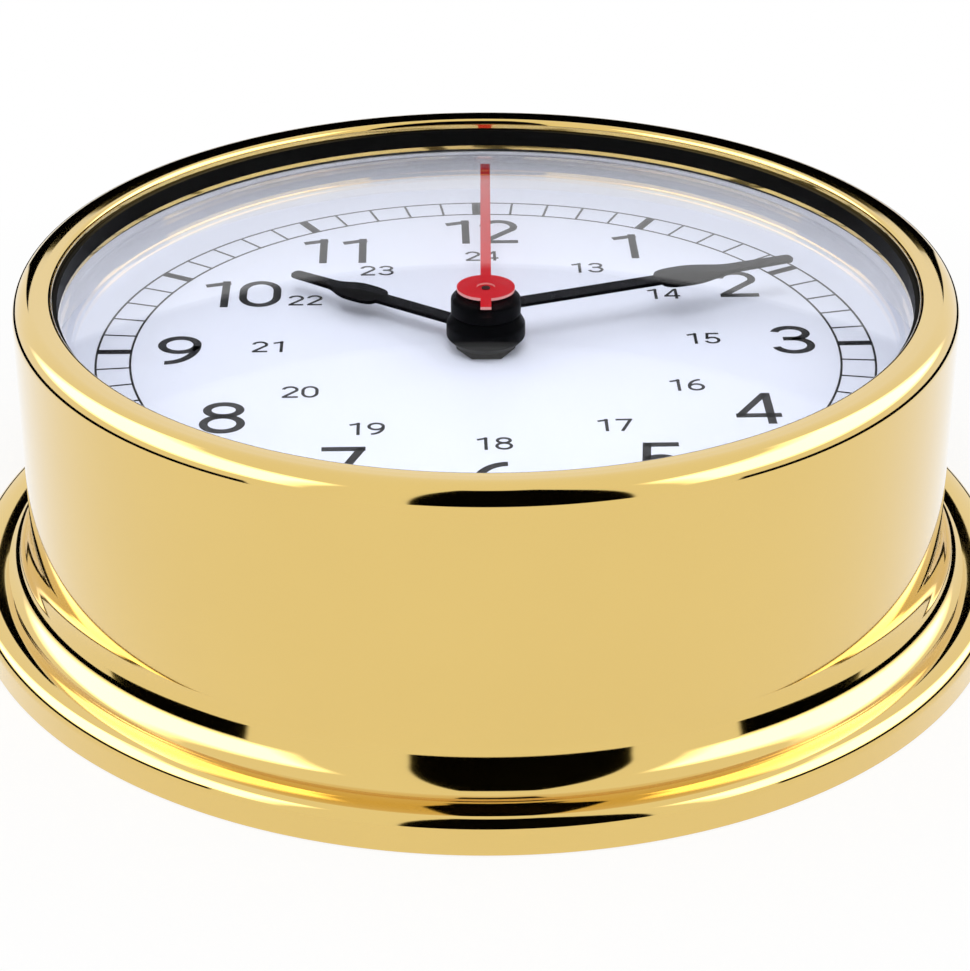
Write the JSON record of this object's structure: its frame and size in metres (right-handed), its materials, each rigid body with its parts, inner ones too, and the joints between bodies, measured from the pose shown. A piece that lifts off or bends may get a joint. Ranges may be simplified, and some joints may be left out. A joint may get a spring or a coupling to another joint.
{
  "type": "marine clock",
  "caption": "Round brass bulkhead clock lying on its back: moulded base, plain barrel, domed glass, white dial with black leaf hands and a red seconds hand.",
  "frame": {"origin": "centre of the back plane of the base", "axes": "+Z out through the glass along the hand axis, +Y towards twelve o'clock"},
  "size_m": [0.15, 0.15, 0.048],
  "materials": {
    "polished_brass": "mirror polished and lacquered",
    "turned_brass": "turned",
    "black_band": "satin black",
    "black_rubber": "matte",
    "clear_glass": "polished",
    "white_enamel": "smooth satin",
    "spring_steel": "satin",
    "plated_steel": "satin plated",
    "black_plastic": "fine texture",
    "white_nylon": "moulded",
    "copper_winding": "enamelled wire",
    "green_board": "solder mask",
    "battery_jacket": "printed film",
    "dark_magnet": "sintered",
    "black_lacquer": "gloss black",
    "red_lacquer": "gloss red"
  },
  "bodies": {
    "case": {"case_shell": "polished_brass", "base_ring": "polished_brass", "bezel_band": "black_band", "glass_gasket": "black_rubber", "glass": "clear_glass", "spacer_ring": "white_enamel", "dial": "white_enamel", "spring_ring": "spring_steel", "movement_front": "black_plastic", "movement_rear": "black_plastic", "bushing": "turned_brass", "thin_nut": "turned_brass", "dial_washer": "black_rubber", "wheel_posts": "spring_steel", "stator": "spring_steel", "coil": "copper_winding", "circuit_board": "green_board", "quartz_crystal": "spring_steel", "battery": "battery_jacket", "contact_plus": "spring_steel", "contact_minus": "spring_steel"},
    "seconds": {"seconds_wheel": "white_nylon", "seconds_hand": "red_lacquer"},
    "rotor": {"rotor": "white_nylon", "rotor_magnet": "dark_magnet"},
    "intermediate": {"intermediate_wheel": "white_nylon"},
    "third": {"third_wheel": "white_nylon"},
    "centre": {"centre_wheel": "white_nylon"},
    "minute": {"minute_pipe": "turned_brass", "clutch_washer": "spring_steel", "minute_hand": "black_lacquer"},
    "motion": {"motion_wheel": "white_nylon"},
    "hour": {"hour_wheel": "white_nylon", "hour_hand": "black_lacquer"},
    "setting": {"setting_knob": "black_plastic"},
    "plate": {"bulkhead_plate": "plated_steel"}
  },
  "joints": [
    {"name": "seconds_turn", "type": "hinge", "parent": "case", "child": "seconds", "pos_m": [0, 0, 0.03], "axis": [0, 0, -1], "continuous": true},
    {"name": "rotor_turn", "type": "hinge", "parent": "case", "child": "rotor", "pos_m": [-0.02098, 0.0015, 0.03], "axis": [0, 0, -1], "continuous": true},
    {"name": "intermediate_turn", "type": "hinge", "parent": "case", "child": "intermediate", "pos_m": [-0.01128, -0.0041, 0.03], "axis": [0, 0, -1], "continuous": true},
    {"name": "third_turn", "type": "hinge", "parent": "case", "child": "third", "pos_m": [0.01082, 0.01082, 0.03], "axis": [0, 0, -1], "continuous": true},
    {"name": "centre_turn", "type": "hinge", "parent": "case", "child": "centre", "pos_m": [0, 0, 0.03], "axis": [0, 0, -1], "continuous": true},
    {"name": "minute_turn", "type": "hinge", "parent": "case", "child": "minute", "pos_m": [0, 0, 0.03], "axis": [0, 0, -1], "continuous": true},
    {"name": "motion_turn", "type": "hinge", "parent": "case", "child": "motion", "pos_m": [0.01039, -0.006, 0.03], "axis": [0, 0, -1], "continuous": true},
    {"name": "hour_turn", "type": "hinge", "parent": "case", "child": "hour", "pos_m": [0, 0, 0.03], "axis": [0, 0, -1], "continuous": true},
    {"name": "setting_turn", "type": "hinge", "parent": "case", "child": "setting", "pos_m": [0.02167, -0.0101, 0.03], "axis": [0, 0, -1], "continuous": true},
    {"name": "bayonet_turn", "type": "hinge", "parent": "case", "child": "plate", "pos_m": [0, 0, 0], "axis": [0, 0, 1], "range_deg": [0, 30]}
  ],
  "couplings": [
    {"joint": "rotor_turn", "follows": "seconds_turn", "ratio": 30},
    {"joint": "intermediate_turn", "follows": "seconds_turn", "ratio": -5},
    {"joint": "third_turn", "follows": "seconds_turn", "ratio": -0.13333},
    {"joint": "centre_turn", "follows": "seconds_turn", "ratio": 0.016667},
    {"joint": "motion_turn", "follows": "minute_turn", "ratio": -0.33333},
    {"joint": "hour_turn", "follows": "minute_turn", "ratio": 0.083333},
    {"joint": "setting_turn", "follows": "minute_turn", "ratio": 1}
  ]
}
